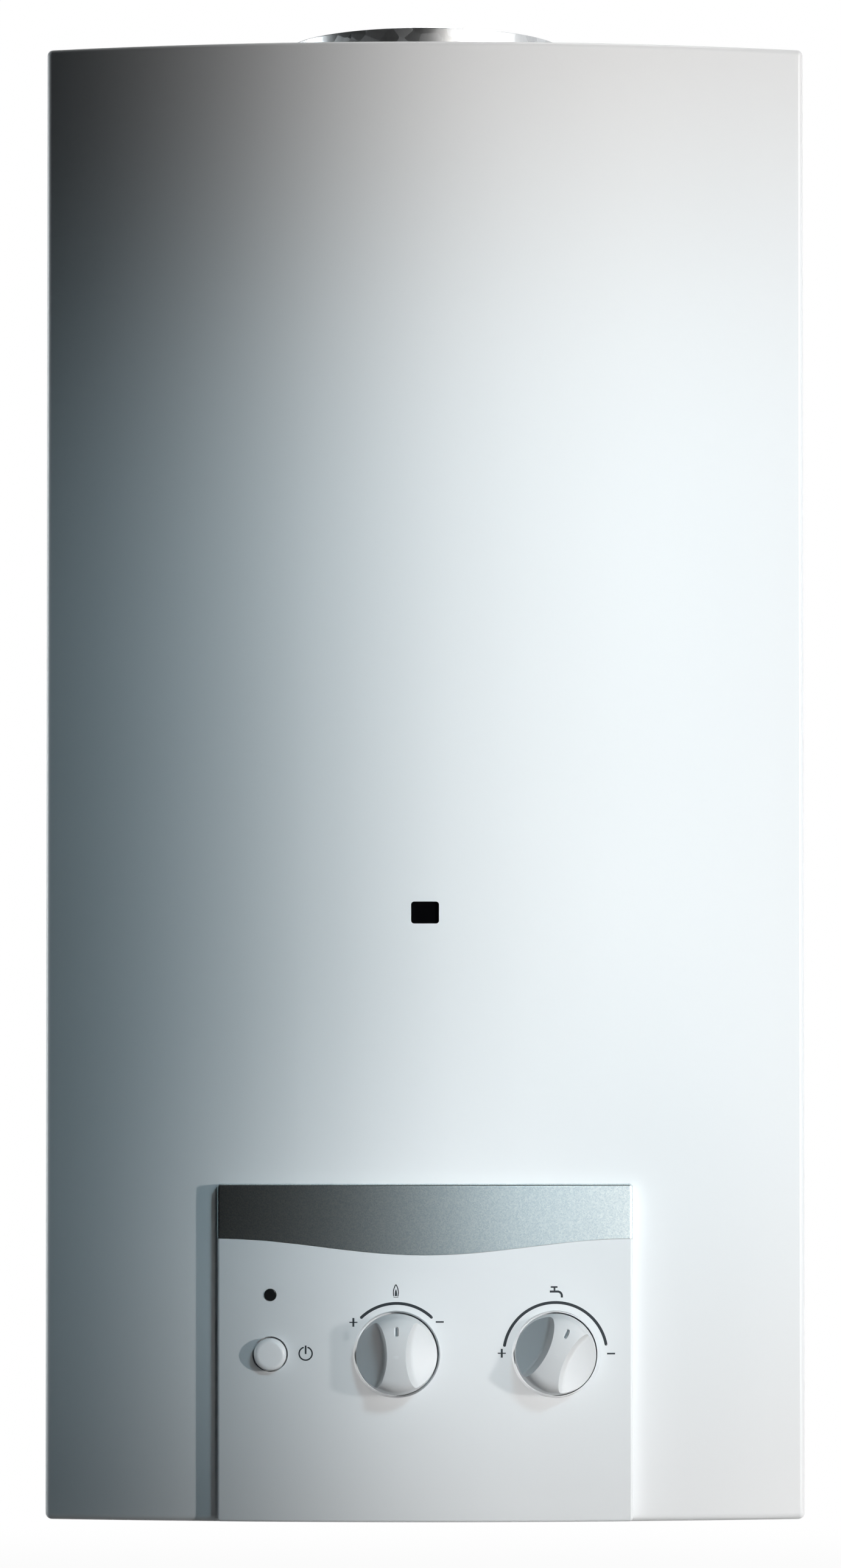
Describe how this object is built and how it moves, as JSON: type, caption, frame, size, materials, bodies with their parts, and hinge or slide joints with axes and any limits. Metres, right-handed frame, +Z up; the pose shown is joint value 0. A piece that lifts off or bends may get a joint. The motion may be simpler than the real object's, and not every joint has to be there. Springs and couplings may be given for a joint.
{
  "type": "gas water heater",
  "caption": "Wall-hung gas water heater: bowed white steel casing, round flue collar, control panel with turning knobs and a press button, full works inside.",
  "frame": {"origin": "centre of the four wall fixing holes, on the wall plane, half-way up the casing", "axes": "+Z up, -Y out of the front, +X to the right as seen from the front"},
  "size_m": [0.35, 0.269, 0.7055],
  "materials": {
    "case_enamel": "gloss white stoved enamel",
    "panel_white": "satin white",
    "band_silver": "satin silver grey",
    "knob_white": "satin white",
    "lens_black": "gloss black",
    "window_glass": "clear, dark behind",
    "galvanised": "galvanised",
    "copper": "drawn copper",
    "brass": "turned brass",
    "cast_alloy": "die-cast, blasted",
    "steel": "bright steel",
    "burner_steel": "matt stainless steel",
    "black_plastic": "matt",
    "grey_plastic": "matt",
    "board_green": "lacquered board",
    "ceramic": "glazed white",
    "rubber": "matt",
    "cell_jacket": "plain dark jacket"
  },
  "bodies": {
    "heater": {"front_case": "case_enamel", "back_plate": "galvanised", "case_screws": "steel", "draught_hood": "galvanised", "flue_collar": "galvanised", "exchanger_casing": "copper", "exchanger_fins": "copper", "exchanger_tubes": "copper", "combustion_chamber": "copper", "chamber_coil": "copper", "stack_brackets": "galvanised", "spillage_sensor": "black_plastic", "burner_frame": "galvanised", "burner_bars": "burner_steel", "gas_manifold": "galvanised", "gas_injectors": "brass", "electrode_bracket": "steel", "electrodes": "ceramic", "gas_valve_body": "cast_alloy", "gas_valve_bonnet": "cast_alloy", "gas_solenoid": "black_plastic", "poppet_spring": "steel", "valve_neck": "cast_alloy", "water_switch_cover": "brass", "diaphragm": "rubber", "water_switch_body": "brass", "water_switch_screws": "steel", "microswitch": "black_plastic", "valve_bracket": "galvanised", "manifold_pipe": "copper", "cold_water_pipe": "copper", "hot_water_pipe": "copper", "gas_pipe": "copper", "pipe_connections": "brass", "connection_plate": "galvanised", "overheat_limiter": "black_plastic", "control_box": "grey_plastic", "control_box_lid": "grey_plastic", "ignition_board": "board_green", "battery_holder": "black_plastic", "battery_cell": "cell_jacket", "battery_contacts": "steel", "flap_hinge_pin": "steel", "electrode_leads": "rubber", "sensor_leads": "rubber", "control_panel": "panel_white", "panel_band": "band_silver", "button_spring": "steel", "switch_board": "board_green", "status_lens": "lens_black", "sight_glass": "window_glass"},
    "gas_control": {"gas_knob": "knob_white", "gas_spindle": "steel"},
    "temperature_control": {"water_knob": "knob_white", "selector_spindle": "brass"},
    "power_control": {"power_button": "knob_white"},
    "tappet": {"tappet_rod": "steel", "gas_poppet": "rubber", "diaphragm_plate": "brass"},
    "battery_cover": {"battery_flap": "black_plastic"}
  },
  "joints": [
    {"name": "gas_knob_turn", "type": "hinge", "parent": "heater", "child": "gas_control", "pos_m": [-0.013, -0.24, -0.263], "axis": [0, 1, 0], "range_deg": [-43.4, 43.4]},
    {"name": "water_knob_turn", "type": "hinge", "parent": "heater", "child": "temperature_control", "pos_m": [0.0595, -0.24, -0.263], "axis": [0, 1, 0], "range_deg": [-105, 54]},
    {"name": "power_button_press", "type": "slide", "parent": "heater", "child": "power_control", "axis": [0, 1, 0], "range_m": [0, 0.002], "stiffness_N_per_m": 400, "springref_m": -0.002, "deforming": ["button_spring"]},
    {"name": "tappet_slide", "type": "slide", "parent": "heater", "child": "tappet", "axis": [-1, 0, 0], "range_m": [0, 0.004], "stiffness_N_per_m": 300, "springref_m": -0.004, "deforming": ["poppet_spring"]},
    {"name": "battery_flap_hinge", "type": "hinge", "parent": "heater", "child": "battery_cover", "pos_m": [-0.098, -0.0425, -0.3378], "axis": [-1, 0, 0], "range_deg": [0, 95]}
  ]
}
